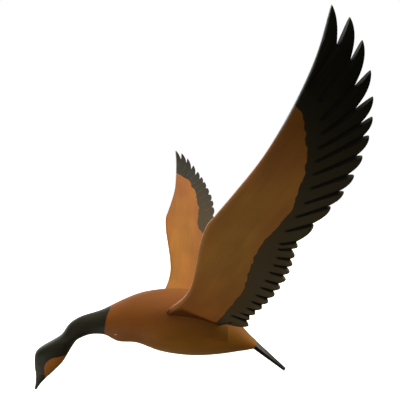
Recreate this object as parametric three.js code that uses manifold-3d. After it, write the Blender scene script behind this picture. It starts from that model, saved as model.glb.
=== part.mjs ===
// A flying goose carved in wood at about life size, wings raised, made to hang in the air.
// Millimetres. +Z is up, the bill is at -X, the tail at +X, and the goose's left wing at -Y.
// The origin is the centre of the small flat seat on the ridge of the back, where it hangs.
import * as THREE from 'three';
import { mergeVertices } from 'three/addons/utils/BufferGeometryUtils.js';
import Module from 'manifold-3d';

// The body, neck, head and bill, carved as one.
const bodyLength = 605; // from the face of the bill to the end of the rump
const sidesOfSection = 24;
const ringsPerStation = 2;

// The seat for the hanging eye.
const seatDiameter = 18;
const seatDepth = 1.6;
const sidesOfSeat = 32;

// The wings.
const wingLength = 845; // along the bend, from the wing's foot inside the body to its tip
const wingIncidence = 18; // degrees that the wing's chord slopes down towards the tail
const rootThickness = 19; // at the leading edge beside the body
const wristThickness = 10; // at the leading edge out past the first bend
const featherThickness = 7.2; // at the thick, leading side of a flight feather
const featherThinSide = 2; // at its trailing side
const featherTipThickness = 3;
const upperStep = 1; // the part of the step between two feathers that is cut on the upper face
const camber = 6;
const noseRadius = 8; // how far in from the leading edge the board is rounded off
const noseFlat = 0.4; // share of the thickness left at the very edge
const cutWidth = 0.9; // of the knife cut between two feathers
const wallSlant = 3; // how far a thick side's lower edge is cut back at the notch

// The tail board. Its root and the tongue that is let into the rump take shares of the rump's end.
const tailLength = 116; // what shows behind the rump
const tongueLength = 24;
const tailRootWidthShare = 0.93;
const tailRootHeightShare = 0.76;
const tongueShare = 0.6; // of the root's width and thickness
const tailEndWidth = 98;
const tailEndThickness = 8;
const tailSlope = 39.5; // degrees down
const tailRise = 2.5; // of its middle above the middle of the rump's end
const tailRoundFrom = 0.78; // share of the length where the end begins to round
const tailRounding = 0.8; // how much of the end's width the rounding takes, as a squared share
const sidesOfTailEdge = 4;
const tailSteps = [0, 0.25, 0.5, tailRoundFrom, 0.88, 0.95, 0.985, 1]; // shares of the length

const clearance = 0.35; // between pieces that meet
const weldDistance = 1e-4;

const wholeLength = 1000; // the templates below are in thousandths of a length

// Carver's templates of the body, in thousandths of its length from the hanging point on the ridge:
// the back line x and z, the belly line x and z, and half the width.
const bodyStations = [
  [-663, -401, -652, -405, 7], // tip of the bill
  [-659, -377, -634, -380, 16],
  [-658, -339, -594, -341, 23], // root of the bill
  [-662, -288, -549, -298, 34], // cheek
  [-654, -239, -519, -250, 40], // crown
  [-604, -207, -491, -208, 41],
  [-553, -177, -461, -191, 38], // nape
  [-521, -133, -428, -183, 37],
  [-468, -102, -393, -184, 40],
  [-385, -80, -361, -192, 50], // foot of the neck
  [-300, -43, -309, -221, 74],
  [-215, -13, -228, -231, 101], // breast
  [-130, -1, -134, -271, 124], // shoulder
  [-30, 0, -30, -297, 132],
  [70, -22, 70, -309, 122],
  [165, -80, 170, -310, 97], // loin
  [240, -154, 243, -306, 72],
  [303, -226, 283, -304, 51],
  [339, -260, 307, -299, 43], // end of the rump, square to the tail
];
const balancePoint = -16; // the hanging point, on the same scale

// The wing's foot: where its reference line starts inside the body, in thousandths of the body's
// length behind and below the first template's zero, and as a share of the body's half width there.
const wingFoot = { back: -134, below: 102, outward: 0.49 };

// The wing laid flat, in thousandths of its length: distance along the wing, then distance back
// from the reference line.
const leadingEdge = [
  [0, 8], [60, 14], [122, 28], [184, 34], [241, 27], [328, 6], [392, -10], [464, -20],
  [506, -15], [599, -5], [704, 2], [810, -2], [910, -12], [968, -23], [1000, -32],
];
const tipOutline = [
  [1001, -31], [996, 4], [975, 40], [940, 79], [872, 132], [794, 169], [699, 195], [578, 200],
  [495, 208], [428, 232], [363, 249], [289, 256], [212, 256], [139, 251], [99, 267],
];
// Spaces between feather tips along that outline, from the wing's tip inwards.
const primarySpaces = [35, 42, 52, 47, 39, 40, 47, 50, 49, 52, 69];
const handSpace = 83; // between the last primary and the first secondary
const secondarySpaces = [35, 36, 32, 35, 39, 36, 40, 37, 38, 35, 43];
// Each row below starts with a place along the wing. A notch lies this far ahead of the next
// feather's tip and this far inside it.
const notchAhead = [
  [99, 23], [139, 13], [397, 11], [463, 15], [495, 10], [578, -1], [699, -7], [837, -8],
  [872, -22], [904, -32], [975, -33], [996, -41],
];
const notchDepth = [
  [99, 19], [139, 7], [249, 9], [363, 15], [428, 15], [463, 18], [495, 11], [578, 5],
  [699, 10], [747, 12], [837, 9], [872, 10], [904, 13], [940, 8], [975, 0], [996, -3],
];
// The cut that runs in from the notch: its turn from the wing's length, in degrees, and its length.
const cutTurn = [
  [122, 97], [190, 98], [300, 92], [374, 87], [438, 79], [478, 67], [505, 57], [577, 43],
  [643, 38], [740, 37], [785, 34], [829, 29], [850, 28], [872, 22], [915, 12], [960, 4],
];
const cutLength = [
  [122, 51], [155, 27], [190, 28], [300, 36], [440, 32], [478, 30], [505, 37], [577, 59],
  [650, 68], [738, 72], [785, 84], [829, 92], [850, 80], [872, 66], [915, 76], [960, 76],
];
// Slope of the wing, in degrees up from level.
const wingSlope = [
  [0, 33], [60, 37], [150, 42], [340, 43.7], [530, 40.6], [700, 38], [850, 42.8], [1000, 59.4],
];
const rootEdge = { along: 6, across: 166 }; // inner end of the trailing edge, inside the body
const lastNotch = { along: 30, across: 64 }; // where the last feather begins, from its tip
const thinning = { outFrom: 50, outTo: 260, handFrom: 300, handTo: 900, chord: 170 };
const camberSpan = { fadeFrom: 260, fadeTo: 760, chord: 235 };
const cutLag = { most: 36, from: 470, to: 680 }; // how the outer cuts look back to the leading edge

// The net of corners over each feather: shares of the way from the leading edge to the cut, of the
// way along the cut, and of the way from the notch to the tip.
const boardShares = [0, 0.04, 0.14, 0.36, 0.66, 1];
const cutShares = [1 / 3, 2 / 3, 1];
const freeShares = { primary: [0.3, 0.6, 0.85], secondary: [0.4, 0.75] };
const sideThinning = [0, 0.45, 1]; // of the leading, middle and trailing rows
const leadingCurve = { bulge: 0.02, fullAt: 0.85 };
const trailingCurve = { bulge: 0.19, fullAt: 0.62 };
const firstTrailingCurve = { bulge: 0.13, fullAt: 0.62 };
const bendStep = 4;

const wasm = await Module();
wasm.setup();
const { clamp, lerp, smoothstep, degToRad } = THREE.MathUtils;

// Value at a place in a table of [place, value] rows, as a smooth curve.
function readTable(table, place) {
  const last = table.length - 1;
  let row = 0;
  while (row < last - 1 && place > table[row + 1][0]) row += 1;
  const [start, from] = table[row];
  const [end, to] = table[row + 1];
  const share = clamp((place - start) / (end - start), 0, 1);
  const slopeAt = (index) => {
    const before = table[Math.max(index - 1, 0)];
    const after = table[Math.min(index + 1, last)];
    return (after[1] - before[1]) / (after[0] - before[0]);
  };
  const reach = end - start;
  const square = share * share;
  const cube = square * share;
  const level = from * (2 * cube - 3 * square + 1) + to * (3 * square - 2 * cube);
  return level + reach * (slopeAt(row) * (cube - 2 * square + share) + slopeAt(row + 1) * (cube - square));
}

// Gathers triangles by their corners, leaving out those that have no area.
class Skin {
  constructor() {
    this.corners = [];
  }

  triangle(a, b, c) {
    const meets = (first, second) => first.distanceTo(second) < weldDistance;
    if (!meets(a, b) && !meets(b, c) && !meets(c, a)) this.corners.push(a, b, c);
  }

  quad(a, b, c, d) {
    this.triangle(a, b, c);
    this.triangle(a, c, d);
  }

  fan(centre, ring) {
    ring.forEach((corner, index) => this.triangle(centre, corner, ring[(index + 1) % ring.length]));
  }

  geometry() {
    return mergeVertices(new THREE.BufferGeometry().setFromPoints(this.corners), weldDistance);
  }
}

function centreOf(ring) {
  const sum = new THREE.Vector3();
  ring.forEach((corner) => sum.add(corner));
  return sum.divideScalar(ring.length);
}

// A closed skin over rings of corners, each ring turning the same way about the line of travel.
function loft(rings) {
  const skin = new Skin();
  for (let index = 1; index < rings.length; index += 1) {
    const inner = rings[index - 1];
    const outer = rings[index];
    inner.forEach((corner, side) => {
      const next = (side + 1) % inner.length;
      skin.quad(corner, inner[next], outer[next], outer[side]);
    });
  }
  skin.fan(centreOf(rings[0]), [...rings[0]].reverse());
  skin.fan(centreOf(rings.at(-1)), rings.at(-1));
  return skin.geometry();
}

function solidOf(geometry) {
  const vertProperties = new Float32Array(geometry.getAttribute('position').array);
  const triVerts = new Uint32Array(geometry.getIndex().array);
  return new wasm.Manifold(new wasm.Mesh({ numProp: 3, vertProperties, triVerts }));
}

function geometryOf(solid) {
  const mesh = solid.getMesh();
  const geometry = new THREE.BufferGeometry();
  geometry.setAttribute('position', new THREE.BufferAttribute(mesh.vertProperties, 3));
  geometry.setIndex(new THREE.BufferAttribute(mesh.triVerts, 1));
  return geometry;
}

// The body's back line, belly line and half width as smooth curves through the templates.
const ofBody = (thousandths) => thousandths * bodyLength / wholeLength;
const smoothCurve = (points) => new THREE.CatmullRomCurve3(points, false, 'catmullrom', 0.5);
const backLine = smoothCurve(bodyStations.map(([x, z]) => new THREE.Vector3(ofBody(x), 0, ofBody(z))));
const bellyLine = smoothCurve(bodyStations.map(
  ([, , x, z, half]) => new THREE.Vector3(ofBody(x), ofBody(half), ofBody(z))));

// One section of the body, grown outwards by an allowance.
function bodySection(place, allowance) {
  const back = backLine.getPoint(place);
  const lower = bellyLine.getPoint(place);
  const halfWidth = lower.y + allowance;
  const belly = new THREE.Vector3(lower.x, 0, lower.z);
  const centre = back.clone().lerp(belly, 0.5);
  const up = back.clone().sub(centre);
  up.setLength(up.length() + allowance);
  const ring = [];
  for (let side = 0; side < sidesOfSection; side += 1) {
    const turn = side * 2 * Math.PI / sidesOfSection;
    const corner = centre.clone().addScaledVector(up, Math.cos(turn));
    corner.y = -halfWidth * Math.sin(turn);
    ring.push(corner);
  }
  return ring;
}

function bodyForm(allowance) {
  const rings = [];
  const count = (bodyStations.length - 1) * ringsPerStation;
  for (let index = 0; index <= count; index += 1) rings.push(bodySection(index / count, allowance));
  return loft(rings);
}

// Place on the body's curves where the back line reaches a distance along X, by halving.
function placeAlongBack(x) {
  let low = 0;
  let high = 1;
  const halvings = 40;
  for (let step = 0; step < halvings; step += 1) {
    const middle = (low + high) / 2;
    if (backLine.getPoint(middle).x < x) low = middle;
    else high = middle;
  }
  return low;
}

const balance = backLine.getPoint(placeAlongBack(ofBody(balancePoint)));
const origin = new THREE.Vector3(balance.x, 0, balance.z - seatDepth);

// A round cutter that stands on the seat.
function seatCut() {
  const ringAt = (height) => {
    const ring = [];
    for (let side = 0; side < sidesOfSeat; side += 1) {
      const turn = side * 2 * Math.PI / sidesOfSeat;
      const offset = new THREE.Vector3(Math.cos(turn), Math.sin(turn), 0).multiplyScalar(seatDiameter / 2);
      ring.push(offset.add(origin).setZ(origin.z + height));
    }
    return ring;
  };
  return solidOf(loft([ringAt(0), ringAt(seatDiameter)]));
}

// The tail board on its tongue, thinner and wider towards its rounded end.
const rump = bodySection(1, 0);
const rumpCentre = rump[0].clone().lerp(rump[sidesOfSection / 2], 0.5);
const rumpWidth = 2 * Math.abs(rump[sidesOfSection / 4].y);
const rumpHeight = rump[0].distanceTo(rump[sidesOfSection / 2]);

// One flat section of the tail with half round edges, a distance behind the rump's end.
function tailSection(distance, width, thickness) {
  const slope = degToRad(tailSlope);
  const along = new THREE.Vector3(Math.cos(slope), 0, -Math.sin(slope));
  const up = new THREE.Vector3(Math.sin(slope), 0, Math.cos(slope));
  const middle = rumpCentre.clone().addScaledVector(along, distance).addScaledVector(up, tailRise);
  const ring = [];
  for (const edge of [-1, 1]) {
    for (let side = 0; side <= sidesOfTailEdge; side += 1) {
      const turn = edge * (Math.PI * side / sidesOfTailEdge - Math.PI / 2);
      const corner = middle.clone().addScaledVector(up, thickness * Math.sin(turn) / 2);
      corner.y = edge * (width - thickness * (1 - Math.cos(turn))) / 2;
      ring.push(corner);
    }
  }
  return ring;
}

// The tongue from its inner end to a distance behind the rump's end, grown by an allowance.
function tongueRings(end, allowance) {
  const width = rumpWidth * tailRootWidthShare * tongueShare + 2 * allowance;
  const thickness = rumpHeight * tailRootHeightShare * tongueShare + 2 * allowance;
  return [-tongueLength - allowance, end].map((distance) => tailSection(distance, width, thickness));
}

function tailForm() {
  const board = tailSteps.map((share) => {
    const rounding = Math.max(0, (share - tailRoundFrom) / (1 - tailRoundFrom));
    const spread = lerp(rumpWidth * tailRootWidthShare, tailEndWidth, share);
    const width = spread * Math.sqrt(1 - tailRounding * rounding * rounding);
    const thickness = lerp(rumpHeight * tailRootHeightShare, tailEndThickness, share);
    return tailSection(clearance + share * tailLength, width, thickness);
  });
  return loft([...tongueRings(clearance, 0), ...board]);
}

// The wing laid flat. Points are (along, across), in millimetres.
const ofWing = (thousandths) => thousandths * wingLength / wholeLength;
const placeOf = (along) => along * wholeLength / wingLength;
const flat = (along, across) => new THREE.Vector2(along, across);
const leadAcross = (along) => ofWing(readTable(leadingEdge, placeOf(along)));
const onLead = (along) => flat(along, leadAcross(along));
const towards = (point, goal, distance) => goal.clone().sub(point).setLength(distance).add(point);

// Feather tips from the wing's tip inwards, spaced along the outline.
function featherTips() {
  const outline = smoothCurve(
    tipOutline.map(([along, across]) => new THREE.Vector3(ofWing(along), ofWing(across), 0)));
  const reach = [0];
  const spaces = [...primarySpaces, handSpace, ...secondarySpaces];
  spaces.forEach((space) => reach.push(reach.at(-1) + space));
  return reach.map((distance) => {
    const point = outline.getPointAt(distance / reach.at(-1));
    return flat(point.x, point.y);
  });
}

// The cut between two feathers: the notch at the wing's edge, where the cut fades out inside the
// board, and the point of the leading edge that it looks back to.
function cutBefore(tip) {
  const ahead = ofWing(readTable(notchAhead, placeOf(tip.x)));
  const notch = flat(tip.x + ahead, tip.y - ofWing(readTable(notchDepth, placeOf(tip.x))));
  const turn = degToRad(readTable(cutTurn, placeOf(notch.x)));
  const length = ofWing(readTable(cutLength, placeOf(notch.x)));
  const inner = flat(notch.x - length * Math.cos(turn), notch.y - length * Math.sin(turn));
  const lag = ofWing(cutLag.most) * smoothstep(inner.x, ofWing(cutLag.from), ofWing(cutLag.to));
  return { foot: onLead(inner.x - lag), inner, notch };
}

// Corners of one row of the wing's net, from the leading edge to the fade-out and on to the notch.
function netRow({ foot, inner, notch }) {
  const row = boardShares.map((share) => foot.clone().lerp(inner, share));
  cutShares.forEach((share) => row.push(inner.clone().lerp(notch, share)));
  return row;
}

// How deep the cut is at each column: nothing at its inner end, full depth at the notch.
const cutDepth = (column) => cutShares[column - boardShares.length] ?? 0;

// The same row moved sideways by half the width of the cut, towards the tip or the body.
function besideCut(row, side) {
  return row.map((point, column) => {
    if (column < boardShares.length) return point;
    const before = row[column - 1];
    const sideways = flat(point.y - before.y, before.x - point.x).normalize();
    return point.clone().addScaledVector(sideways, side * cutDepth(column) * cutWidth / 2);
  });
}

// The row halfway between two rows, with its front end on the leading edge.
function rowBetween(before, after) {
  const row = before.map((point, column) => point.clone().lerp(after[column], 0.5));
  const inner = row[boardShares.length - 1];
  const foot = onLead(row[0].x);
  return row.map((point, column) => {
    return column < boardShares.length ? foot.clone().lerp(inner, boardShares[column]) : point;
  });
}

// The wing's feathers. Each has a leading row, a middle row and a trailing row.
function wingFeathers() {
  const tips = featherTips();
  const cuts = tips.slice(1).map(cutBefore);
  const outerRow = netRow(cuts[0]).map((point) => onLead(point.x));
  const lastTip = tips.at(-1);
  const rootRow = netRow({
    foot: onLead(ofWing(rootEdge.along)),
    inner: flat(ofWing(rootEdge.along), ofWing(rootEdge.across)),
    notch: flat(lastTip.x - ofWing(lastNotch.along), lastTip.y - ofWing(lastNotch.across)),
  });
  return tips.map((tip, index) => {
    const before = index === 0 ? outerRow : besideCut(netRow(cuts[index - 1]), -1);
    const after = index === cuts.length ? rootRow : besideCut(netRow(cuts[index]), 1);
    return { tip, rows: [before, rowBetween(before, after), after], primary: index <= primarySpaces.length };
  });
}

// The bend of the wing: how far out and up each distance along it comes.
const bend = [{ out: 0, rise: 0 }];
while (bend.length * bendStep < wingLength + 2 * bendStep) {
  const middle = (bend.length - 0.5) * bendStep;
  const slope = degToRad(readTable(wingSlope, Math.min(placeOf(middle), wholeLength)));
  const { out, rise } = bend.at(-1);
  bend.push({ out: out + bendStep * Math.cos(slope), rise: rise + bendStep * Math.sin(slope) });
}

function bendAt(along) {
  const index = clamp(Math.floor(along / bendStep), 0, bend.length - 2);
  const [near, beyond] = [bend[index], bend[index + 1]];
  const share = along / bendStep - index;
  return {
    out: lerp(near.out, beyond.out, share),
    rise: lerp(near.rise, beyond.rise, share),
    slope: Math.atan2(beyond.rise - near.rise, beyond.out - near.out),
  };
}

const footSection = bodySection(placeAlongBack(ofBody(wingFoot.back)), 0);
const footOut = Math.abs(footSection[sidesOfSection / 4].y) * wingFoot.outward;

// A flat point, raised from the board's middle surface, in its place on the right wing.
function onWing(point, height) {
  const { out, rise, slope } = bendAt(point.x);
  const incidence = degToRad(wingIncidence);
  const lift = rise + height * Math.cos(slope);
  const x = ofBody(wingFoot.back) + point.y * Math.cos(incidence) + lift * Math.sin(incidence);
  const z = -ofBody(wingFoot.below) - point.y * Math.sin(incidence) + lift * Math.cos(incidence);
  return new THREE.Vector3(x, footOut + out - height * Math.sin(slope), z);
}

const behindLead = (point) => Math.max(0, point.y - leadAcross(Math.min(point.x, wingLength)));

// Thickness of the board at a flat point: thick at the body and the leading edge, round in front.
function boardThickness(point) {
  const outward = smoothstep(point.x, ofWing(thinning.outFrom), ofWing(thinning.outTo));
  const handward = smoothstep(point.x, ofWing(thinning.handFrom), ofWing(thinning.handTo));
  const front = lerp(lerp(rootThickness, wristThickness, outward), featherThickness, handward);
  const full = lerp(front, featherThickness, Math.min(behindLead(point) / ofWing(thinning.chord), 1));
  const nose = 1 - Math.min(behindLead(point) / noseRadius, 1);
  return full * lerp(noseFlat, 1, Math.sqrt(1 - nose * nose));
}

function camberAt(point) {
  const fade = 1 - smoothstep(point.x, ofWing(camberSpan.fadeFrom), ofWing(camberSpan.fadeTo));
  return camber * fade * Math.sin(Math.PI * Math.min(behindLead(point) / ofWing(camberSpan.chord), 1));
}

// The two faces of the board at a flat point. Thin runs from 0 to 1 at a feather's trailing side,
// pointed from 0 to 1 at its tip, and the lower face may lie under another flat point.
function facesAt(point, thin, pointed, under) {
  const thickness = lerp(boardThickness(point), featherTipThickness, pointed);
  const spare = Math.max(0, thickness - featherThinSide) * thin;
  const overShare = upperStep / (featherThickness - featherThinSide);
  const middle = camberAt(point);
  return {
    upper: onWing(point, middle + thickness / 2 - spare * overShare),
    lower: onWing(under, middle - thickness / 2 + spare * (1 - overShare)),
  };
}

// A side of a feather's free end, from the notch to the tip in one full curve.
function featherSide(start, tip, { bulge, fullAt }, side) {
  const sideways = flat(tip.y - start.y, start.x - tip.x).multiplyScalar(side * bulge);
  const control = start.clone().lerp(tip, fullAt).add(sideways);
  return (share) => start.clone().lerp(control, share).lerp(control.clone().lerp(tip, share), share);
}

function wingForm() {
  const feathers = wingFeathers();
  const skin = new Skin();
  const strip = (first, second) => {
    for (let column = 1; column < first.length; column += 1) {
      const [a, b, c, d] = [first[column - 1], first[column], second[column], second[column - 1]];
      skin.quad(a.upper, d.upper, c.upper, b.upper);
      skin.quad(a.lower, b.lower, c.lower, d.lower);
    }
  };
  const wall = (edge) => {
    for (let index = 1; index < edge.length; index += 1) {
      skin.quad(edge[index - 1].upper, edge[index].upper, edge[index].lower, edge[index - 1].lower);
    }
  };
  let previous = null;
  feathers.forEach(({ tip, rows, primary }, index) => {
    const isFirst = index === 0;
    const isLast = index === feathers.length - 1;
    const thinAt = rows.map((row, line) => (isLast && line === 2 ? 0 : sideThinning[line]));
    const slantAt = rows.map((row, line) => (line === 0 && !isFirst ? wallSlant : 0));
    const boardRows = rows.map((row, line) => row.map((point, column) => {
      const under = towards(point, rows[1][column], slantAt[line] * cutDepth(column));
      return facesAt(point, cutDepth(column) * thinAt[line], 0, under);
    }));
    strip(boardRows[0], boardRows[1]);
    strip(boardRows[1], boardRows[2]);
    if (previous) {
      strip(previous, boardRows[0]);
      wall([previous.at(-1), boardRows[0].at(-1)]);
    }
    previous = boardRows[2];

    const leading = featherSide(rows[0].at(-1), tip, leadingCurve, 1);
    const trailing = featherSide(rows[2].at(-1), tip, isFirst ? firstTrailingCurve : trailingCurve, -1);
    const middle = (share) => leading(share).lerp(trailing(share), 0.5);
    const shares = primary ? freeShares.primary : freeShares.secondary;
    const freeRows = [leading, middle, trailing].map((side, line) => {
      const points = shares.map((share) => {
        const under = towards(side(share), middle(share), slantAt[line] * (1 - share));
        return facesAt(side(share), thinAt[line] * (1 - share), share ** 3, under);
      });
      return [boardRows[line].at(-1), ...points, facesAt(tip, 0, 1, tip)];
    });
    strip(freeRows[0], freeRows[1]);
    strip(freeRows[1], freeRows[2]);
    wall(freeRows[0]);
    wall([...freeRows[2]].reverse());
    if (isFirst) wall(boardRows[0]);
    if (isLast) wall([...boardRows[2]].reverse());
    wall([boardRows[1][0], boardRows[0][0]]);
    wall([boardRows[2][0], boardRows[1][0]]);
  });
  return skin.geometry();
}

// The same form on the other side of the goose.
function mirrored(geometry) {
  const copy = geometry.clone().scale(1, -1, 1);
  const index = copy.getIndex().array;
  for (let corner = 0; corner < index.length; corner += 3) {
    [index[corner + 1], index[corner + 2]] = [index[corner + 2], index[corner + 1]];
  }
  return copy;
}

// The wings' feet are cut to the body's sides, and the tail's tongue is let into the rump.
const rightWing = geometryOf(solidOf(wingForm()).subtract(solidOf(bodyForm(clearance))));
const socket = solidOf(loft(tongueRings(tongueLength, clearance)));
const body = solidOf(bodyForm(0)).subtract(seatCut()).subtract(socket);

const wingWood = new THREE.MeshStandardMaterial({ color: 0x9c6430, roughness: 0.45, metalness: 0 });
const bodyWood = new THREE.MeshStandardMaterial({ color: 0x8f5c2c, roughness: 0.45, metalness: 0 });
const darkPaint = new THREE.MeshStandardMaterial({ color: 0x24251c, roughness: 0.4, metalness: 0 });

const goose = new THREE.Group();

function addPiece(name, geometry, material) {
  const piece = new THREE.Mesh(geometry, material);
  piece.name = name;
  piece.position.copy(origin).negate();
  goose.add(piece);
}

addPiece('body', geometryOf(body), bodyWood);
addPiece('left_wing', mirrored(rightWing), wingWood);
addPiece('right_wing', rightWing, wingWood);
addPiece('tail', tailForm(), darkPaint);

export default goose;
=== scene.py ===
import math
from bisect import bisect
from functools import partial

import bmesh
import bpy
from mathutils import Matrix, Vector
from mathutils.bvhtree import BVHTree
from mathutils.kdtree import KDTree


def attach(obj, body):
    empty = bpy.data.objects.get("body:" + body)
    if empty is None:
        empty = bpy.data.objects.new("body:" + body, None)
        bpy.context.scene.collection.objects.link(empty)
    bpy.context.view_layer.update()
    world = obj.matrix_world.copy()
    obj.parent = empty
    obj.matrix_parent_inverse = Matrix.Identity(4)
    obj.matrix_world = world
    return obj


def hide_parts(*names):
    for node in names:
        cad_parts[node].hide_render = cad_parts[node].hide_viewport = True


# A carved and painted wooden goose in flight. Metres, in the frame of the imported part.
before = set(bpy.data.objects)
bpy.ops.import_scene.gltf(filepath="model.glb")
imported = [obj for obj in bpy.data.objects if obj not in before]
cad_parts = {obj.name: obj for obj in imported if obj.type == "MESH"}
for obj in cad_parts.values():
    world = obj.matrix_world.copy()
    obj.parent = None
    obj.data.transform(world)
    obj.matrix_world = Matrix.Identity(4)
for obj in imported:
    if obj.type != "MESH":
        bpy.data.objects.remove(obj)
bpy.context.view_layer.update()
bpy.ops.object.select_all(action="DESELECT")
scene = bpy.context.scene
scene.view_settings.view_transform = "Standard"
mm = 0.001
print("frame loaded")


def smoothStep(low, high, value):
    share = min(max((value - low) / (high - low), 0), 1)
    return share * share * (3 - 2 * share)


def readTable(table, place):
    # straight lines between rows of (place, value)
    row = min(max(bisect(table, (place,)), 1), len(table) - 1)
    (start, low), (end, high) = table[row - 1], table[row]
    return low + (high - low) * min(max((place - start) / (end - start), 0), 1)


def distanceToLine(point, line):
    nearest = math.inf
    for start, end in zip(line, line[1:]):
        run = end - start
        share = min(max((point - start).dot(run) / run.length_squared, 0), 1)
        nearest = min(nearest, (start + run * share - point).length)
    return nearest


def treeOf(points):
    tree = KDTree(len(points))
    for index, point in enumerate(points):
        tree.insert(point, index)
    tree.balance()
    return tree


# Finishes

def linearColour(code):
    # sRGB hex to the linear values that the shader takes
    channels = [int(code[place:place + 2], 16) / 255 for place in (1, 3, 5)]
    return [c / 12.92 if c <= 0.04045 else ((c + 0.055) / 1.055) ** 2.4 for c in channels] + [1]


def addNode(tree, kind, sockets=None, **settings):
    # sockets gives an input, by its name or number, a value or another node's output
    node = tree.nodes.new(kind)
    for name, value in settings.items():
        setattr(node, name, value)
    for name, value in (sockets or {}).items():
        if isinstance(value, bpy.types.NodeSocket):
            tree.links.new(value, node.inputs[name])
        else:
            node.inputs[name].default_value = value
    return node


# Limewood or a like pale hardwood, stained walnut brown and rubbed with satin varnish: the colour
# drifts slowly between ochre and red brown, with soft broad streaks along the grain, hardly any
# pores, and a low even sheen.
wingStain = {"ochre": "#c88b3d", "red": "#bb7738", "low": 0.80, "high": 1.18, "roughness": 0.50}
bodyStain = {"ochre": "#a36924", "red": "#985821", "low": 0.80, "high": 1.16, "roughness": 0.54}
# Artist's oil colour, black with a little brown, brushed thin over the stain. It is thickest at the
# wing's tip, and the wood shows through it where it thins. The cuts below are painted dark as their shade.
wingPaint = {"light": "#18180f", "dark": "#10110b", "thinned": "#54452f", "thickFrom": 820, "thinFrom": 300,
             "roughness": 0.44, "specular": 0.35, "waver": 13}
bodyPaint = {"light": "#2f2e25", "dark": "#23221b", "roughness": 0.44, "specular": 0.3, "waver": 4}
# The tail's upper bevel has a painted grey sheen next to the body.
tailPaint = {"light": "#1d1d20", "dark": "#141418", "roughness": 0.30, "specular": 0.2, "bevelSheen": "#727076"}
# What the finishes share, in millimetres: the paint's soft edge and the thin brown line along it, the
# painted shade in the cuts below, the painted highlights beside the cuts above, the painted shadow
# under the wing's root by the body, two tints of painted shade on the wood, and the painted highlight
# along the leading edge. A core is the share of a width that is full.
shared = {
    "soft": 0.6, "thin": 2.6, "thinColour": "#42290f",
    "cutWidth": 5.0, "cutCore": 0.6, "cutShadeColour": "#0b0b08",
    "cutHighlightWidth": 1.5, "cutHighlightStrength": 0.55, "cutHighlightColour": "#8f7242",
    "seamWidth": 9, "seamCore": 0.5, "seamShadowColour": "#6a380b",
    "paintedShadeColour": "#c4bf8e", "warmShadeColour": "#f7e6c8", "rimHighlightColour": "#a9aab0",
}
# Grain and brush marks: length along the wood and width across it in millimetres, detail, distortion.
# Pores are drawn about three times as coarse as real ones.
grain = {
    "drift": (420, 170, 1.0, 0.0), "blotch": (190, 95, 2.0, 0.0), "streak": (420, 24, 2.0, 0.3),
    "fine": (160, 5, 3.0, 0.4), "pore": (14, 0.9, 2.0, 0.0), "brush": (60, 3, 3.0, 0.0),
    "waver": (24, 24, 3.0, 0.0), "sheen": (70, 26, 2.0, 0.0),
}
# How strongly those marks show. A contrast is the part of a pattern's range that is used.
strength = {
    "brushContrast": (0.3, 0.7), "driftContrast": (0.42, 0.58), "toneContrast": (0.36, 0.64),
    "poreContrast": (0.30, 0.42), "poreShade": 0.88,
    "tone": {"blotch": 0.67, "streak": 0.18, "fine": 0.15},
    "sheen": 0.14, "brushRelief": 0.5, "bump": 0.1, "bumpDepth": 0.4, "ior": 1.45,
}


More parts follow.
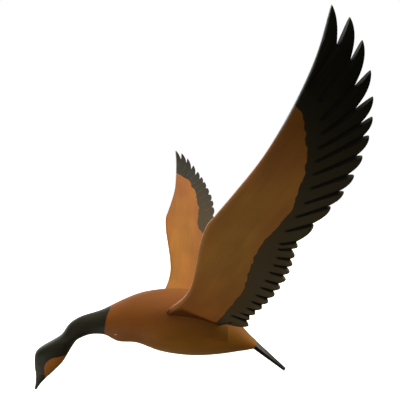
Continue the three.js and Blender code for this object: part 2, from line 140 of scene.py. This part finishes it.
def paintedWood(name, stain, paint, lay=None, paleFleck=None):
    # lay names the attribute that holds the wood's own directions on a bent piece
    material = bpy.data.materials.new(name)
    material.use_nodes = True
    tree = material.node_tree
    shader = tree.nodes["Principled BSDF"]
    add = partial(addNode, tree)
    if lay:
        place = add("ShaderNodeAttribute", attribute_name=lay).outputs["Vector"]
    else:
        place = add("ShaderNodeTexCoord").outputs["Object"]
    marks = {}
    for key, (length, width, detail, distortion) in grain.items():
        scale = (1 / (length * mm), 1 / (width * mm), 1 / (width * mm))
        stretched = add("ShaderNodeMapping", {"Vector": place, "Scale": scale}).outputs["Vector"]
        marks[key] = add("ShaderNodeTexNoise", {"Vector": stretched, "Scale": 1.0, "Detail": detail,
                                                "Distortion": distortion}).outputs["Fac"]

    low, high = strength["brushContrast"]
    brushed = add("ShaderNodeMapRange", {"Value": marks["brush"], "From Min": low, "From Max": high})
    colour = add("ShaderNodeMix", {0: brushed.outputs[0], 6: linearColour(paint["dark"]),
                                   7: linearColour(paint["light"])}, data_type="RGBA").outputs[2]
    halfSheen = strength["sheen"] / 2
    gloss = add("ShaderNodeMath", {0: marks["sheen"], 1: strength["sheen"],
                                   2: paint["roughness"] - halfSheen},
                operation="MULTIPLY_ADD").outputs[0]

    # painted sheen: the tail's upper bevel grey next to the body
    if "bevelSheen" in paint:
        bevelSheen = add("ShaderNodeAttribute", attribute_name="bevelSheen").outputs["Fac"]
        colour = add("ShaderNodeMix", {0: bevelSheen, 6: colour, 7: linearColour(paint["bevelSheen"])},
                     data_type="RGBA").outputs[2]

    if lay:
        along = add("ShaderNodeSeparateXYZ", {"Vector": place}).outputs["X"]
        thinned = add("ShaderNodeMapRange", {"Value": along, "From Min": paint["thickFrom"] * mm,
                                             "From Max": paint["thinFrom"] * mm},
                      interpolation_type="SMOOTHSTEP").outputs[0]
        colour = add("ShaderNodeMix", {0: thinned, 6: colour, 7: linearColour(paint["thinned"])},
                     data_type="RGBA").outputs[2]
        # painted shade: the upper face, and the lower face next to the body, tinted warmer and darker for
        # how the light falls on them
        warmShade = add("ShaderNodeAttribute", attribute_name="warm").outputs["Fac"]
        colour = add("ShaderNodeMix", {0: warmShade, 6: colour, 7: linearColour(shared["warmShadeColour"])},
                     data_type="RGBA", blend_type="MULTIPLY").outputs[2]
        # painted highlight: pale lines beside the cuts above, where their edges catch the light
        above = add("ShaderNodeAttribute", attribute_name="cutAbove").outputs["Fac"]
        cutHighlight = add("ShaderNodeMapRange", {"Value": above, "From Min": shared["cutHighlightWidth"] * mm,
                                          "From Max": 0.0, "To Max": shared["cutHighlightStrength"]}).outputs[0]
        colour = add("ShaderNodeMix", {0: cutHighlight, 6: colour, 7: linearColour(shared["cutHighlightColour"])},
                     data_type="RGBA").outputs[2]
        # painted shade: the cuts below darkened towards their inner corners, where shade falls
        below = add("ShaderNodeAttribute", attribute_name="cutBelow").outputs["Fac"]
        cutWidth = shared["cutWidth"] * mm
        cutShade = add("ShaderNodeMapRange", {"Value": below, "From Min": cutWidth,
                                            "From Max": cutWidth * shared["cutCore"]}).outputs[0]
        colour = add("ShaderNodeMix", {0: cutShade, 6: colour, 7: linearColour(shared["cutShadeColour"])},
                     data_type="RGBA").outputs[2]

    if stain:
        low, high = strength["driftContrast"]
        hue = add("ShaderNodeMapRange", {"Value": marks["drift"], "From Min": low,
                                         "From Max": high}).outputs[0]
        if lay:
            ruddy = add("ShaderNodeAttribute", attribute_name="ruddy").outputs["Fac"]
            hue = add("ShaderNodeMath", {0: hue, 1: ruddy}, operation="MAXIMUM").outputs[0]
        wood = add("ShaderNodeMix", {0: hue, 6: linearColour(stain["ochre"]),
                                     7: linearColour(stain["red"])}, data_type="RGBA").outputs[2]
        tone = 0.0
        for key, weight in strength["tone"].items():
            tone = add("ShaderNodeMath", {0: marks[key], 1: weight, 2: tone},
                       operation="MULTIPLY_ADD").outputs[0]
        low, high = strength["toneContrast"]
        shade = add("ShaderNodeMapRange", {"Value": tone, "From Min": low, "From Max": high,
                                           "To Min": stain["low"], "To Max": stain["high"]}).outputs[0]
        low, high = strength["poreContrast"]
        pores = add("ShaderNodeMapRange", {"Value": marks["pore"], "From Min": low, "From Max": high,
                                           "To Min": strength["poreShade"]}).outputs[0]
        shade = add("ShaderNodeMath", {0: shade, 1: pores}, operation="MULTIPLY").outputs[0]
        wood = add("ShaderNodeMix", {0: 1.0, 6: wood, 7: shade}, data_type="RGBA",
                   blend_type="MULTIPLY").outputs[2]
        # painted shade: the wing's lower face darker towards the tip, and the body's flank darker than the
        # rump as under the wing's shadow
        paintedShadeShare = add("ShaderNodeAttribute", attribute_name="paintedShade").outputs["Fac"]
        wood = add("ShaderNodeMix", {0: paintedShadeShare, 6: wood, 7: linearColour(shared["paintedShadeColour"])},
                   data_type="RGBA", blend_type="MULTIPLY").outputs[2]
        if lay:
            # the same painted shade tint on the wood
            wood = add("ShaderNodeMix", {0: warmShade, 6: wood, 7: linearColour(shared["warmShadeColour"])},
                       data_type="RGBA", blend_type="MULTIPLY").outputs[2]
            # painted shadow under the wing's root, on the lower face where it meets the body
            seam = add("ShaderNodeAttribute", attribute_name="seam").outputs["Fac"]
            seamWidth = shared["seamWidth"] * mm
            seamShadow = add("ShaderNodeMapRange", {"Value": seam, "From Min": seamWidth,
                                                "From Max": seamWidth * shared["seamCore"]},
                         interpolation_type="SMOOTHSTEP").outputs[0]
            wood = add("ShaderNodeMix", {0: seamShadow, 6: wood, 7: linearColour(shared["seamShadowColour"])},
                       data_type="RGBA").outputs[2]
        if paleFleck:
            # a small pale fleck on the breast
            away = add("ShaderNodeVectorMath", {0: place, 1: Vector(paleFleck["place"]) * mm},
                       operation="SUBTRACT")
            size = [1 / (side * mm) for side in paleFleck["size"]]
            away = add("ShaderNodeVectorMath", {0: away.outputs[0], 1: size}, operation="MULTIPLY")
            away = add("ShaderNodeVectorMath", {0: away.outputs[0]}, operation="LENGTH").outputs["Value"]
            fleckShare = add("ShaderNodeMapRange", {"Value": away, "From Min": 1.0,
                                              "From Max": paleFleck["core"]}).outputs[0]
            wood = add("ShaderNodeMix", {0: fleckShare, 6: wood, 7: linearColour(paleFleck["colour"])},
                       data_type="RGBA").outputs[2]

        # the painted area, with a wavering edge
        border = add("ShaderNodeAttribute", attribute_name="paintEdge").outputs["Fac"]
        waver = paint["waver"] * mm
        shift = add("ShaderNodeMath", {0: marks["waver"], 1: waver, 2: -waver / 2},
                    operation="MULTIPLY_ADD").outputs[0]
        border = add("ShaderNodeMath", {0: border, 1: shift}).outputs[0]
        thin = add("ShaderNodeMapRange", {"Value": border, "From Max": shared["thin"] * mm}).outputs[0]
        colour = add("ShaderNodeMix", {0: thin, 6: linearColour(shared["thinColour"]), 7: colour},
                     data_type="RGBA").outputs[2]
        painted = add("ShaderNodeMapRange", {"Value": border, "From Min": -shared["soft"] * mm,
                                             "From Max": shared["soft"] * mm}).outputs[0]
        colour = add("ShaderNodeMix", {0: painted, 6: wood, 7: colour}, data_type="RGBA").outputs[2]
        woodGloss = add("ShaderNodeMath", {0: marks["sheen"], 1: strength["sheen"],
                                           2: stain["roughness"] - halfSheen},
                        operation="MULTIPLY_ADD").outputs[0]
        gloss = add("ShaderNodeMix", {"Factor": painted, 2: woodGloss, 3: gloss},
                    data_type="FLOAT").outputs[0]

    if lay:
        # painted highlight along the wing's leading edge
        rim = add("ShaderNodeAttribute", attribute_name="rim").outputs["Fac"]
        colour = add("ShaderNodeMix", {0: rim, 6: colour, 7: linearColour(shared["rimHighlightColour"])},
                     data_type="RGBA").outputs[2]

    tree.links.new(colour, shader.inputs["Base Color"])
    tree.links.new(gloss, shader.inputs["Roughness"])
    relief = add("ShaderNodeMath", {0: marks["brush"], 1: strength["brushRelief"], 2: marks["pore"]},
                 operation="MULTIPLY_ADD")
    bump = add("ShaderNodeBump", {"Height": relief.outputs[0], "Strength": strength["bump"],
                                  "Distance": strength["bumpDepth"] * mm})
    tree.links.new(bump.outputs["Normal"], shader.inputs["Normal"])
    shader.inputs["IOR"].default_value = strength["ior"]
    shader.inputs["Specular IOR Level"].default_value = paint["specular"]
    return material


# Shaping

welding = {"gap": 0.02, "faceAngle": 25, "shapeAngle": 60}


def onlySelect(piece):
    bpy.ops.object.select_all(action="DESELECT")
    piece.select_set(True)
    bpy.context.view_layer.objects.active = piece


def copyOf(nodeName, pieceName):
    # the CAD node's triangles as one welded mesh of mostly four-sided faces
    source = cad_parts[nodeName]
    piece = bpy.data.objects.new(pieceName, source.data.copy())
    piece.data.materials.clear()
    scene.collection.objects.link(piece)
    onlySelect(piece)
    bpy.ops.object.mode_set(mode="EDIT")
    bpy.ops.mesh.select_all(action="SELECT")
    bpy.ops.mesh.remove_doubles(threshold=welding["gap"] * mm)
    bpy.ops.mesh.tris_convert_to_quads(face_threshold=math.radians(welding["faceAngle"]),
                                       shape_threshold=math.radians(welding["shapeAngle"]))
    bpy.ops.object.mode_set(mode="OBJECT")
    return piece


def creaseEdges(piece, angle, creaseOf):
    # creaseOf says how sharp each edge that turns by more than the angle stays
    mesh = bmesh.new()
    mesh.from_mesh(piece.data)
    crease = mesh.edges.layers.float.new("crease_edge")
    for edge in mesh.edges:
        if edge.calc_face_angle(0) > math.radians(angle):
            edge[crease] = creaseOf(edge)
    mesh.to_mesh(piece.data)
    mesh.free()


def applySubdivision(piece, levels):
    onlySelect(piece)
    smoothing = piece.modifiers.new("smoothing", "SUBSURF")
    smoothing.levels = levels
    smoothing.render_levels = levels
    bpy.ops.object.modifier_apply(modifier=smoothing.name)


def subdivided(piece, levels, holdPasses):
    # each hold pass moves the corners out by what the smoothing took from them
    goal = [vertex.co.copy() for vertex in piece.data.vertices]
    for _ in range(holdPasses):
        trial = piece.copy()
        trial.data = piece.data.copy()
        scene.collection.objects.link(trial)
        applySubdivision(trial, 1)
        for index, corner in enumerate(goal):
            piece.data.vertices[index].co += corner - trial.data.vertices[index].co
        bpy.data.objects.remove(trial)
    applySubdivision(piece, levels)


def store(piece, name, kind, values):
    attribute = piece.data.attributes.new(name, kind, "POINT")
    field = "vector" if kind == "FLOAT_VECTOR" else "value"
    for item, value in zip(attribute.data, values):
        setattr(item, field, value)


def finish(piece, nodeName, angle, material):
    onlySelect(piece)
    bpy.ops.object.shade_smooth_by_angle(angle=math.radians(angle))
    piece.data.materials.append(material)
    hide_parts(nodeName)
    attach(piece, "root")
    print(piece.name, len(piece.data.polygons), "faces")


# Wings
wing = {
    "length": 845, "footX": -71.39, "footZ": -59.12, "footOut": 36.55, "incidence": 18,
    # the slope of the board and its leading edge, by thousandths of the length
    "slope": [(0, 33), (60, 37), (150, 42), (340, 43.7), (530, 40.6), (700, 38), (850, 42.8), (1000, 59.4)],
    "leadingEdge": [(0, 8), (60, 14), (122, 28), (184, 34), (241, 27), (328, 6), (392, -10), (464, -20),
                    (506, -15), (599, -5), (704, 2), (810, -2), (910, -12), (968, -23), (1000, -32)],
    # the paint's border on the two faces, in thousandths of the length, along and across
    "borderBelow": [(862, -60), (839, 2), (821, 25), (785, 53), (731, 86), (678, 105), (601, 126),
                    (546, 131), (481, 127), (408, 135), (336, 150), (259, 171), (166, 172), (59, 175),
                    (-40, 177)],
    "borderAbove": [(862, -60), (829, -2), (822, 20), (812, 40), (801, 68), (778, 77), (752, 84),
                    (729, 103), (680, 111), (623, 118), (592, 124), (537, 124), (495, 121), (456, 130),
                    (428, 150), (380, 168), (300, 184), (180, 190), (59, 192), (-40, 194)],
    # steps of the bend in millimetres, steps past the tip, and rounds that lay a place flat
    "bendStep": 2, "spareSteps": 10, "flatRounds": 3,
    "noseReach": 1.5, "noseCrease": 0.6, "uprightReach": 0.6,
    # how much a face looks up where the marks of the cuts above begin and those of the cuts below end
    "cutAngle": 20, "cutReach": 12, "facing": 0.7, "aboveFrom": 0.2, "belowTo": 0.6,
    # how sharp the feathers' points stay, by the place along the wing
    "toothAngle": 50, "toothCrease": [(420, 0.85), (470, 0.45)],
    # how far the painted shadow under the wing's root reaches up the lower face, by its place along the
    # body
    "seamSearch": 72, "seamReach": [(-60, 1.0), (-47, 3.4), (-21, 6.6), (2, 4.4), (31, 2.6), (60, 1.6)],
    # painted shade: the lower face's wood darker towards the tip, by the place along the wing
    "paintedShade": [(550, 0), (680, 1)],
    # painted shade: the lower face next to the body, and all of the upper face, tinted warmer and darker
    "warm": [(130, 1), (260, 0)],
    # how much of the redder stain the lower face has at least, next to the body
    "ruddy": [(170, 0.75), (400, 0)],
    # a painted highlight, light grey, along the leading edge: how wide, and where along the wing it begins
    "rimWidth": 3.2, "rimFrom": 600, "rimTo": 700,
    "creaseAngle": 30, "smoothAngle": 38, "levels": 2, "holdPasses": 2,
}


def slopeAt(along):
    return math.radians(readTable(wing["slope"], along * 1000 / wing["length"]))


def bendTables():
    # how far out a place along the wing is, and how high it has risen
    step, out, rise = wing["bendStep"], 0, 0
    outToAlong, alongToRise = [(0, 0)], [(0, 0)]
    for index in range(int(wing["length"] / step) + wing["spareSteps"]):
        slope = slopeAt((index + 0.5) * step)
        out += step * math.cos(slope)
        rise += step * math.sin(slope)
        outToAlong.append((out, (index + 1) * step))
        alongToRise.append(((index + 1) * step, rise))
    return outToAlong, alongToRise


outToAlong, alongToRise = bendTables()


def layFlat(point):
    # a place on either wing as (along, across, height), in millimetres of the wing laid flat
    incidence = math.radians(wing["incidence"])
    x = point.x / mm - wing["footX"]
    z = point.z / mm - wing["footZ"]
    out = abs(point.y) / mm - wing["footOut"]
    across = x * math.cos(incidence) - z * math.sin(incidence)
    lift = x * math.sin(incidence) + z * math.cos(incidence)
    height = 0
    for _ in range(wing["flatRounds"]):
        along = readTable(outToAlong, out + height)
        slope = slopeAt(along)
        rise = (lift - readTable(alongToRise, along)) * math.cos(slope)
        height = rise * math.sin(slope)
    return Vector((along, across, rise))


def boardUp(point, along):
    # the way that the wing's upper face looks
    slope = slopeAt(along)
    incidence = math.radians(wing["incidence"])
    side = math.copysign(1, point.y)
    return Vector((math.sin(incidence) * math.cos(slope), -side * math.sin(slope),
                   math.cos(incidence) * math.cos(slope)))


def borderTree(rows):
    # the border as close points on a smooth curve through its rows, with the way it runs at each
    line = [Vector((along, across, 0)) * wing["length"] / 1000 for along, across in rows]
    line = [line[0]] + line + [line[-1]]
    points, ways = [], []
    for before, start, end, after in zip(line, line[1:], line[2:], line[3:]):
        parts = max(int((end - start).length), 1)
        leave, reach = (end - before) / 2, (after - start) / 2
        for part in range(parts):
            t = part / parts
            points.append(start * (2 * t ** 3 - 3 * t * t + 1) + leave * (t ** 3 - 2 * t * t + t)
                          + end * (3 * t * t - 2 * t ** 3) + reach * (t ** 3 - t * t))
            ways.append((end - start).normalized())
    return treeOf(points), ways


borders = {key: borderTree(wing[key]) for key in ("borderAbove", "borderBelow")}


def paintEdgeAt(place, isAbove):
    tree, ways = borders["borderAbove" if isAbove else "borderBelow"]
    spot = Vector((place.x, place.y, 0))
    point, index, distance = tree.find(spot)
    side = ways[index].cross(spot - point).z
    return math.copysign(distance, -side) * mm


def cutTrees(piece):
    # close points along the inner corners of the cuts, on the upper and on the lower face
    mesh = bmesh.new()
    mesh.from_mesh(piece.data)
    above, below = [], []
    for edge in mesh.edges:
        if edge.calc_face_angle_signed(0) > -math.radians(wing["cutAngle"]):
            continue
        start, end = [vertex.co for vertex in edge.verts]
        up = boardUp(start, layFlat(start).x)
        looks = [face.normal.dot(up) for face in edge.link_faces]
        goals = [above] if max(looks) > wing["facing"] else []
        goals += [below] if min(looks) < -wing["facing"] else []
        parts = max(int((end - start).length / mm), 1)
        for goal in goals:
            goal.extend(start.lerp(end, part / parts) for part in range(parts + 1))
    mesh.free()
    return treeOf(above), treeOf(below)


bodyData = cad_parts["body"].data
bodySurface = BVHTree.FromPolygons([vertex.co for vertex in bodyData.vertices],
                                   [face.vertices for face in bodyData.polygons])


def seamAt(point):
    # how far a point of the lower face is from the body, less where the painted shadow reaches further
    reach = wing["seamSearch"] * mm
    distance = bodySurface.find_nearest(point, reach)[3]
    return (reach if distance is None else distance) / readTable(wing["seamReach"], point.x / mm)


def madeWing(nodeName, pieceName, material):
    piece = copyOf(nodeName, pieceName)
    thousandth = wing["length"] / 1000
    cutsAbove, cutsBelow = cutTrees(piece)
    laid = [layFlat(vertex.co) for vertex in piece.data.vertices]

    def behindNose(place):
        return place.y - readTable(wing["leadingEdge"], place.x / thousandth) * thousandth

    def onNose(place):
        return behindNose(place) < wing["noseReach"]

    def creaseOf(edge):
        # feathers are rounded in plan, less so at their points, and the leading edge is eased
        start, end = [laid[vertex.index] for vertex in edge.verts]
        isUpright = (start.xy - end.xy).length < wing["uprightReach"]
        if isUpright and edge.calc_face_angle_signed(0) > 0:
            isPoint = edge.calc_face_angle(0) > math.radians(wing["toothAngle"])
            return readTable(wing["toothCrease"], start.x) if isPoint else 0
        return wing["noseCrease"] if onNose(start) and onNose(end) else 1

    creaseEdges(piece, wing["creaseAngle"], creaseOf)
    subdivided(piece, wing["levels"], wing["holdPasses"])

    # what the finish reads: the wood's directions, then distances in metres and shares of each tint
    places, rows = [], []
    far = wing["cutReach"] * mm
    for vertex in piece.data.vertices:
        point = vertex.co
        place = layFlat(point)
        looks = vertex.normal.dot(boardUp(point, place.x))
        isBelow = looks < 0
        rim = smoothStep(wing["rimWidth"], 0, behindNose(place))
        places.append(place * mm)
        rows.append({
            "paintEdge": paintEdgeAt(place, looks > 0),
            "cutAbove": min(cutsAbove.find(point)[2], far) if looks > wing["aboveFrom"] else far,
            "cutBelow": min(cutsBelow.find(point)[2], far) if looks < wing["belowTo"] else far,
            "seam": seamAt(point) if isBelow else far,
            "paintedShade": readTable(wing["paintedShade"], place.x) if isBelow else 0,
            "warm": readTable(wing["warm"], place.x) if isBelow else 1,
            "ruddy": readTable(wing["ruddy"], place.x) if isBelow else 0,
            "rim": rim * smoothStep(wing["rimFrom"], wing["rimTo"], place.x),
        })
    store(piece, "woodLay", "FLOAT_VECTOR", places)
    for name in rows[0]:
        store(piece, name, "FLOAT", [row[name] for row in rows])
    finish(piece, nodeName, wing["smoothAngle"], material)


wingWood = paintedWood("stained wing wood with dark flight feathers", wingStain, wingPaint, lay="woodLay")
madeWing("left_wing", "carved_left_wing", wingWood)
madeWing("right_wing", "carved_right_wing", wingWood)

# Body. Places on it are x and z in millimetres, the same on both sides.
body = {
    "neckLine": {"x": -214, "z": -95, "rise": 58, "lean": 16},
    "cheek": {"front": -364.5, "top": -157, "back": -290, "bottom": -270, "round": 29},
    "paleFleck": {"place": (-185, -34.5, -103.6), "size": (4.5, 6, 2), "core": 0.6, "colour": "#e6b878"},
    # what stays crisp: the end of the rump, the hanging seat and the tail's slot, its turn in radians
    "rumpEnd": {"x": 205.1, "z": -166.5, "slope": 39.5, "reach": 1, "crease": 0.85},
    "seat": {"below": 1, "reach": 12}, "slot": {"from": 170, "turn": 1},
    "flank": {"line": [(18.5, -110.6), (54.9, -118.6), (84.7, -132.7), (115.2, -140.2)], "lineRun": 9,
              "back": 117, "backRun": 3, "frontFrom": 20, "topFrom": -50, "topTo": -72, "proud": 3.0,
              "shade": 0.2},
    "eye": {"x": -374.8, "z": -169.6, "ring": 4.0, "ringWidth": 1.6, "depth": 0.9},
    "billLine": [(-400, -193), (-385.8, -194), (-377.6, -195), (-367.5, -197.8), (-350, -206)],
    "billStep": 0.7, "billRun": 1.6,
    "mouth": [(-389, -236), (-384, -220), (-376, -207), (-369, -200)],
    "mouthDepth": 0.45, "mouthWidth": 1.3,
    "headFrom": -355, "fineFrom": -365, "fineBelow": -150,
    "creaseAngle": 30, "smoothAngle": 40, "levels": 3, "holdPasses": 2,
}


def neckEdge(x, z):
    line = body["neckLine"]
    share = max(0, (z - line["z"]) / line["rise"])
    return (line["x"] + line["lean"] * share * share - x) * mm


def cheekEdge(x, z):
    # distance outside the bare patch on the cheek, negative inside it
    patch = body["cheek"]
    halfX = (patch["back"] - patch["front"]) / 2
    halfZ = (patch["top"] - patch["bottom"]) / 2
    dx = abs(x - (patch["front"] + patch["back"]) / 2) - halfX + patch["round"]
    dz = abs(z - (patch["top"] + patch["bottom"]) / 2) - halfZ + patch["round"]
    outside = math.hypot(max(dx, 0), max(dz, 0)) + min(max(dx, dz), 0) - patch["round"]
    return outside * mm


def flankRise(x, z):
    # the flank stands a little proud of the rump, with a carved step behind it
    flank = body["flank"]
    behind = smoothStep(flank["back"], flank["back"] - flank["backRun"], x)
    over = smoothStep(0, flank["lineRun"], z - readTable(flank["line"], x))
    ahead = min(max((x - flank["frontFrom"]) / (flank["back"] - flank["frontFrom"]), 0), 1)
    under = smoothStep(flank["topFrom"], flank["topTo"], z)
    return flank["proud"] * behind * over * ahead * under


def headRise(x, z):
    # the ring round the eye, the step of the bill and the line of the mouth are cut in
    eye = body["eye"]
    fromEye = math.hypot(x - eye["x"], z - eye["z"])
    rise = -eye["depth"] * (1 - smoothStep(0, eye["ringWidth"], abs(fromEye - eye["ring"])))
    rise -= body["billStep"] * smoothStep(0, body["billRun"], readTable(body["billLine"], x) - z)
    fromMouth = distanceToLine(Vector((x, z)), [Vector(row) for row in body["mouth"]])
    return rise - body["mouthDepth"] * (1 - smoothStep(0, body["mouthWidth"], fromMouth))


def madeBody(material):
    piece = copyOf("body", "carved_body")
    end, seat, slot = body["rumpEnd"], body["seat"], body["slot"]
    slope = math.radians(end["slope"])

    def onRumpEnd(vertex):
        dx, dz = vertex.co.x / mm - end["x"], vertex.co.z / mm - end["z"]
        return dx * math.cos(slope) - dz * math.sin(slope) > -end["reach"]

    def creaseOf(edge):
        if all(onRumpEnd(vertex) for vertex in edge.verts):
            return end["crease"]
        top = max(vertex.co.z for vertex in edge.verts)
        front = min(vertex.co.x for vertex in edge.verts)
        onSeat = top > -seat["below"] * mm and abs(edge.verts[0].co.x) < seat["reach"] * mm
        inSlot = front > slot["from"] * mm and edge.calc_face_angle(0) > slot["turn"]
        return 1 if onSeat or inSlot else 0

    creaseEdges(piece, body["creaseAngle"], creaseOf)
    subdivided(piece, body["levels"], body["holdPasses"])

    # finer faces where the eye and the bill are cut
    onlySelect(piece)
    bpy.context.tool_settings.mesh_select_mode = (False, False, True)
    bpy.ops.object.mode_set(mode="EDIT")
    bpy.ops.mesh.select_all(action="DESELECT")
    bpy.ops.object.mode_set(mode="OBJECT")
    for face in piece.data.polygons:
        face.select = face.center.x < body["fineFrom"] * mm and face.center.z < body["fineBelow"] * mm
    bpy.ops.object.mode_set(mode="EDIT")
    bpy.ops.mesh.subdivide(number_cuts=1)
    bpy.ops.object.mode_set(mode="OBJECT")

    def spots():
        return [(vertex.co.x / mm, vertex.co.z / mm) for vertex in piece.data.vertices]

    rises = [headRise(x, z) if x < body["headFrom"] else flankRise(x, z) for x, z in spots()]
    normals = [vertex.normal.copy() for vertex in piece.data.vertices]
    for vertex, normal, rise in zip(piece.data.vertices, normals, rises):
        vertex.co += normal * rise * mm
    store(piece, "paintEdge", "FLOAT", [min(neckEdge(x, z), cheekEdge(x, z)) for x, z in spots()])
    # painted shadow of the wing: the flank darker than the rump, on both sides
    store(piece, "paintedShade", "FLOAT", [flankRise(x, z) * body["flank"]["shade"] for x, z in spots()])
    finish(piece, "body", body["smoothAngle"], material)


madeBody(paintedWood("stained body wood with dark neck", bodyStain, bodyPaint, paleFleck=body["paleFleck"]))

# Tail
tail = {
    # the bevel: the corners it moves, as shares of half the thickness, and how far in
    "slope": 39.5, "bevelFrom": 0.6, "bevelTo": 0.8, "bevelCut": 0.207,
    # the painted sheen on the bevel: how far its faces lean from the way up, and where along the body it
    # ends
    "sheenLean": (0.45, 0.95), "sheenFrom": 195, "sheenTo": 282,
    "creaseAngle": 30, "crease": 0.9, "sideAngle": 50, "smoothAngle": 30, "levels": 3, "holdPasses": 2,
}


def cutTopCorners(piece, up):
    # the upper half of the rounded sides becomes a flat bevel
    sections = {}
    for vertex in piece.data.vertices:
        along = round((vertex.co.x * up.z - vertex.co.z * up.x) / mm)
        sections.setdefault(along, []).append(vertex)
    for section in sections.values():
        heights = [vertex.co.dot(up) for vertex in section]
        middle, half = (max(heights) + min(heights)) / 2, (max(heights) - min(heights)) / 2
        for vertex, height in zip(section, heights):
            if tail["bevelFrom"] < (height - middle) / half < tail["bevelTo"]:
                outwards = Vector((0, math.copysign(1, vertex.co.y), 0))
                vertex.co -= (up + outwards) * half * tail["bevelCut"]


def madeTail(material):
    piece = copyOf("tail", "carved_tail")
    slope = math.radians(tail["slope"])
    up = Vector((math.sin(slope), 0, math.cos(slope)))
    cutTopCorners(piece, up)

    def creaseOf(edge):
        # a line runs along the middle of the rounded sides
        looks = [face.normal.dot(up) for face in edge.link_faces]
        if min(looks) < 0 < max(looks):
            return 1
        isTop = min(looks) > 0
        return tail["crease"] if isTop or edge.calc_face_angle(0) > math.radians(tail["sideAngle"]) else 0

    creaseEdges(piece, tail["creaseAngle"], creaseOf)
    subdivided(piece, tail["levels"], tail["holdPasses"])
    # painted sheen on the upper bevel, fading towards the tail's end
    low, high = tail["sheenLean"]
    bevelSheens = []
    for vertex in piece.data.vertices:
        onBevel = low < vertex.normal.dot(up) < high
        bevelSheens.append(smoothStep(tail["sheenTo"], tail["sheenFrom"], vertex.co.x / mm) if onBevel else 0)
    store(piece, "bevelSheen", "FLOAT", bevelSheens)
    finish(piece, "tail", tail["smoothAngle"], material)


madeTail(paintedWood("dark painted tail", None, tailPaint))

# Studio
studio = {
    # the floor is as pale as the background and takes no part in the light on the goose
    "floorDrop": -0.95, "floorRadius": 60, "floorSides": 96, "floorColour": "#f6f5f2",
    "floorRoughness": 0.9, "floorGlow": 1.0, "background": 1.0,
    # soft lights all round: the way towards each, how narrow it is, its strength and its colour
    "glows": [
        ((0, 0, 1), 4, 1.34, "#fffae4"),
        ((1, 0, 1), 4, 0.78, "#fffae0"),
        ((0, -1, 1), 4, 0.49, "#fff8cc"),
        ((0, 1, -1), 4, 0.45, "#fff8cc"),
        ((0, -1, 0), 4, 0.22, "#fff8cc"),
        ((-0.45, 0.82, 0.25), 10, 2.4, "#ffffff"),
        ((-0.85, 0.50, 0.10), 14, 2.0, "#ffffff"),
        ((0.93, 0, 0.37), 12, 1.35, "#fff6ea"),
    ],
    # a low card on the left, near enough that its light fades up the wing
    "fillPlace": (-0.75, -0.30, -0.65), "fillGoal": (0.05, -0.25, 0.10), "fillSize": 0.8, "fillPower": 2.7,
    "fillColour": "#fffbee",
}

bpy.ops.mesh.primitive_circle_add(vertices=studio["floorSides"], radius=studio["floorRadius"],
                                  fill_type="NGON", location=(0, 0, studio["floorDrop"]))
floor = bpy.context.object
floor.name = "studio_floor"
floorPaper = bpy.data.materials.new("pale studio paper")
floorPaper.use_nodes = True
paper = floorPaper.node_tree.nodes["Principled BSDF"]
paper.inputs["Base Color"].default_value = linearColour(studio["floorColour"])
paper.inputs["Roughness"].default_value = studio["floorRoughness"]
paper.inputs["Emission Color"].default_value = linearColour(studio["floorColour"])
paper.inputs["Emission Strength"].default_value = studio["floorGlow"]
floorPaper.cycles.emission_sampling = "NONE"
floor.data.materials.append(floorPaper)
floor.visible_diffuse = False
floor.visible_glossy = False
floor.visible_shadow = False

world = bpy.data.worlds.new("studio")
scene.world = world
world.use_nodes = True
sky = world.node_tree
direction = addNode(sky, "ShaderNodeTexCoord").outputs["Generated"]
light = (0, 0, 0)
for way, narrowness, power, colour in studio["glows"]:
    facing = addNode(sky, "ShaderNodeVectorMath", {0: direction, 1: Vector(way).normalized()},
                     operation="DOT_PRODUCT").outputs["Value"]
    facing = addNode(sky, "ShaderNodeMath", {0: facing, 1: 0.0}, operation="MAXIMUM").outputs[0]
    facing = addNode(sky, "ShaderNodeMath", {0: facing, 1: narrowness}, operation="POWER").outputs[0]
    glow = Vector(linearColour(colour)[:3]) * power
    light = addNode(sky, "ShaderNodeVectorMath", {0: facing, 1: glow, 2: light},
                    operation="MULTIPLY_ADD").outputs[0]
seen = addNode(sky, "ShaderNodeLightPath").outputs["Is Camera Ray"]
shown = addNode(sky, "ShaderNodeMix", {0: seen, 6: light, 7: [studio["background"]] * 3 + [1]},
                data_type="RGBA")
sky.links.new(shown.outputs[2], sky.nodes["Background"].inputs["Color"])

fillLight = bpy.data.lights.new("low soft card", "AREA")
fillLight.size = studio["fillSize"]
fillLight.energy = studio["fillPower"]
fillLight.color = linearColour(studio["fillColour"])[:3]
fill = bpy.data.objects.new("low_soft_card", fillLight)
scene.collection.objects.link(fill)
fill.location = studio["fillPlace"]
fill.rotation_euler = (Vector(studio["fillGoal"]) - fill.location).to_track_quat("-Z", "Y").to_euler()

# Camera
view = {"place": (-0.19032, -1.120, 0.22859), "forward": (0.20904, 0.97768, 0.02016), "lens": 36.14,
        "sensor": 36}
cameraData = bpy.data.cameras.new("camera")
cameraData.lens = view["lens"]
cameraData.sensor_width = view["sensor"]
camera = bpy.data.objects.new("camera", cameraData)
scene.collection.objects.link(camera)
camera.location = view["place"]
camera.rotation_euler = Vector(view["forward"]).to_track_quat("-Z", "Y").to_euler()
scene.camera = camera
print("studio set")
